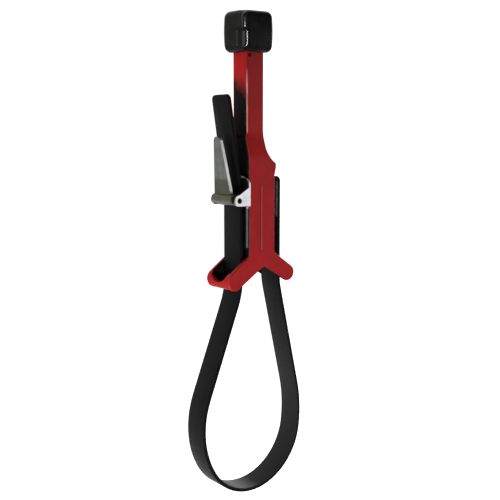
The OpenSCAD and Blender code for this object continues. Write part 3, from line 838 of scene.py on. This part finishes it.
class WRENCH_OT_belt(bpy.types.Operator):
    """Runs the belt from its tail through the buckle, round the loop and into the fold"""
    bl_idname = "wrench.belt"
    bl_label = "Belt"

    def execute(self, context):
        belt = context.scene.wrench_belt
        least_steps, step_degrees = 4, 3.0
        point = Vector((belt.run_x, belt.tail_bend_y, (BELT_LOW.z + BELT_HIGH.z) / 2.0))
        point += arc_move(belt.tail_radius, QUARTER, belt.tail_lean)
        point += belt.tail_length * heading_vector(QUARTER + belt.tail_lean)
        heading = belt.tail_lean - QUARTER
        strap = self.tail_end(belt, point, heading)
        edit(strap)
        bpy.ops.mesh.select_all(action="SELECT")
        for stretch in belt_route(belt):
            if len(stretch) == 1:
                move = stretch[0] * heading_vector(heading)
                bpy.ops.mesh.extrude_region_move(TRANSFORM_OT_translate={"value": move})
            else:
                radius, bend = stretch
                centre = point + radius * heading_vector(heading + QUARTER)
                steps = max(least_steps, round(abs(math.degrees(bend)) / step_degrees))
                bpy.ops.mesh.spin(steps=steps, angle=-bend, center=centre, axis=(0.0, 0.0, 1.0))
                move = arc_move(radius, heading, bend)
                heading += bend
            point = point + move
        self.round_tail(strap, belt)
        bpy.ops.mesh.select_all(action="SELECT")
        bpy.ops.mesh.normals_make_consistent(inside=False)
        bpy.ops.object.mode_set(mode="OBJECT")
        round_edges(strap, belt.edge, 3, lambda co: True, 40.0)
        smooth(strap, 40.0)
        rubber = belt_finish(context.scene.wrench_finish.belt)
        finish_piece(strap, BODY, "belt_rubber", rubber,
                     "strap_tail", "strap_running_strand", "strap_bow", "strap_fixed_strand")
        return {"FINISHED"}

    def tail_end(self, belt, point, heading):
        """The flat end of the tail, across the belt's heading."""
        start_clean()
        bpy.ops.mesh.primitive_plane_add(size=1.0)
        strap = bpy.context.object
        strap.name = "belt_strap"
        across = heading_vector(heading + QUARTER)
        turn = Matrix((across, Vector((0.0, 0.0, 1.0)), heading_vector(heading))).transposed()
        size = Matrix.Diagonal((belt.thickness, belt.width, 1.0))
        strap.matrix_world = Matrix.Translation(point) @ (turn @ size).to_4x4()
        bpy.ops.object.transform_apply(location=True, rotation=True, scale=True)
        return strap

    def round_tail(self, strap, belt):
        """Rounds the two corners at the end of the tail."""
        mesh = bmesh.from_edit_mesh(strap.data)
        bpy.ops.mesh.select_all(action="DESELECT")
        top = max(vert.co.y for vert in mesh.verts) - belt.thickness
        for edge in mesh.edges:
            ends = [end.co for end in edge.verts]
            edge.select_set(min(co.y for co in ends) > top and abs(ends[0].z - ends[1].z) < HAIR)
        bmesh.update_edit_mesh(strap.data)
        bpy.ops.mesh.bevel(offset=belt.tail_corner, segments=6, affect="EDGES", clamp_overlap=True)


class WRENCH_OT_buckle(bpy.types.Operator):
    """Softens the edges of the bracket sheet and plates it"""
    bl_idname = "wrench.buckle"
    bl_label = "Buckle bracket"

    def execute(self, context):
        base_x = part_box("bracket_rivets")[0].x
        lip_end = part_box("buckle_bracket")[1].y - LIP_LENGTH

        def open_edge(co):
            low = co.x < base_x + COUNTERSINK_DEPTH and co.y < COUNTERSINK_TOP
            return co.y < lip_end and not (low and abs(co.z - MIDDLE_Z) < COUNTERSINK_HALF)

        bracket = merged_copy("buckle_bracket", "buckle_bracket_sheet")
        round_edges(bracket, context.scene.wrench_edges.sheet, 2, open_edge)
        smooth(bracket, 35.0)
        apply_modifier(bracket, "WEIGHTED_NORMAL", keep_sharp=True)
        zinc = zinc_finish(context.scene.wrench_finish.zinc)
        finish_piece(bracket, BODY, "zinc_sheet", zinc, "buckle_bracket")
        return {"FINISHED"}


class WRENCH_OT_lever(bpy.types.Operator):
    """Softens the edges of the cam lever and gives it its steel"""
    bl_idname = "wrench.lever"
    bl_label = "Cam lever"

    def execute(self, context):
        lever = merged_copy("cam_lever", "cam_lever_pressing")
        round_edges(lever, context.scene.wrench_edges.lever, 2, lambda co: co.y > LEVER_BARREL_TOP)
        smooth(lever, 35.0)
        apply_modifier(lever, "WEIGHTED_NORMAL", keep_sharp=True)
        steel = lever_finish(context.scene.wrench_finish.lever)
        finish_piece(lever, LEVER_BODY, "lever_steel", steel, "cam_lever")
        return {"FINISHED"}


class WRENCH_OT_fasteners(bpy.types.Operator):
    """Gives the rivets, the washers, the anchor plate and the pin their finishes"""
    bl_idname = "wrench.fasteners"
    bl_label = "Fasteners"

    def execute(self, context):
        finish = context.scene.wrench_finish
        steel = rivet_finish(finish.rivet)
        for node in ("bracket_rivets", "anchor_rivets"):
            dress_node(node, steel)
        dress_node("anchor_washers", bpy.data.materials["bright_zinc_plate"])
        oxide = oxide_finish(finish.plate)
        for node in ("anchor_plate", "pivot_pin"):
            dress_node(node, oxide)
        return {"FINISHED"}


def aim(obj, place, target):
    """Places an object, upright along the handle, and turns its -Z axis towards a target."""
    back = (place - target).normalized()
    right = UP.cross(back).normalized()
    turn = Matrix((right, back.cross(right), back)).transposed()
    obj.matrix_world = Matrix.Translation(place) @ turn.to_4x4()


class WRENCH_OT_stage(bpy.types.Operator):
    """Sets the floor, the soft light and the camera"""
    bl_idname = "wrench.stage"
    bl_label = "Stage"

    def execute(self, context):
        scene = context.scene
        start_clean()
        bpy.ops.mesh.primitive_grid_add(
            x_subdivisions=4, y_subdivisions=4, size=FLOOR_SIZE, location=(0.0, 0.0, FLOOR_Z))
        floor = bpy.context.object
        floor.name = "pale_floor"
        bpy.ops.object.transform_apply(location=True, rotation=True, scale=True)
        floor.data.materials.append(floor_finish(scene.wrench_finish.floor))
        world = bpy.data.worlds.new("studio")
        world.use_nodes = True
        world.node_tree.nodes["Background"].inputs["Color"].default_value = (1.0, 1.0, 1.0, 1.0)
        world.node_tree.nodes["Background"].inputs["Strength"].default_value = WORLD_STRENGTH
        scene.world = world
        for light in LIGHTS:
            self.soft_light(*light)
        self.camera(scene)
        scene.view_settings.view_transform = "Standard"
        return {"FINISHED"}

    def soft_light(self, name, place, target, width, height, power):
        """A soft box; one of them shows in reflections only."""
        start_clean()
        bpy.ops.object.light_add(type="AREA")
        lamp = bpy.context.object
        lamp.name = name
        lamp.data.shape = "RECTANGLE"
        lamp.data.size = width
        lamp.data.size_y = height
        lamp.data.energy = power
        lamp.visible_diffuse = name != REFLECTED_LIGHT
        aim(lamp, Vector(place), Vector(target))

    def camera(self, scene):
        """A camera at the photograph's viewing angle."""
        level = math.cos(CAMERA_RISE)
        view = Vector((
            -math.sin(CAMERA_SWING) * level, math.sin(CAMERA_RISE), math.cos(CAMERA_SWING) * level))
        start_clean()
        bpy.ops.object.camera_add()
        camera = bpy.context.object
        camera.name = "photo_camera"
        camera.data.lens = CAMERA_LENS
        camera.data.sensor_width = CAMERA_SENSOR
        camera.data.clip_start = CAMERA_CLIP
        aim(camera, CAMERA_TARGET + CAMERA_DISTANCE * view, CAMERA_TARGET)
        scene.camera = camera


class WRENCH_PT_panel(bpy.types.Panel):
    """Sizes, colours and steps of the wrench"""
    bl_label = "Strap wrench"
    bl_idname = "WRENCH_PT_panel"
    bl_space_type = "VIEW_3D"
    bl_region_type = "UI"
    bl_category = "Wrench"

    def draw(self, context):
        layout = self.layout
        scene = context.scene
        for group in (scene.wrench_belt, scene.wrench_edges, scene.wrench_finish):
            box = layout.box()
            for name in group.__annotations__:
                box.prop(group, name)
        for step in STEPS:
            layout.operator(step.bl_idname)


STEPS = (
    WRENCH_OT_handle,
    WRENCH_OT_cap,
    WRENCH_OT_belt,
    WRENCH_OT_buckle,
    WRENCH_OT_lever,
    WRENCH_OT_fasteners,
    WRENCH_OT_stage,
)
GROUPS = (WrenchBelt, WrenchEdges, WrenchFinish)


def register():
    for item in GROUPS + STEPS + (WRENCH_PT_panel,):
        bpy.utils.register_class(item)
    bpy.types.Scene.wrench_belt = PointerProperty(type=WrenchBelt)
    bpy.types.Scene.wrench_edges = PointerProperty(type=WrenchEdges)
    bpy.types.Scene.wrench_finish = PointerProperty(type=WrenchFinish)


def unregister():
    del bpy.types.Scene.wrench_finish
    del bpy.types.Scene.wrench_edges
    del bpy.types.Scene.wrench_belt
    for item in reversed(GROUPS + STEPS + (WRENCH_PT_panel,)):
        bpy.utils.unregister_class(item)


def main():
    register()
    bpy.ops.wrench.handle()
    bpy.ops.wrench.cap()
    bpy.ops.wrench.belt()
    bpy.ops.wrench.buckle()
    bpy.ops.wrench.lever()
    bpy.ops.wrench.fasteners()
    bpy.ops.wrench.stage()
    start_clean()


if __name__ == "__main__":
    main()
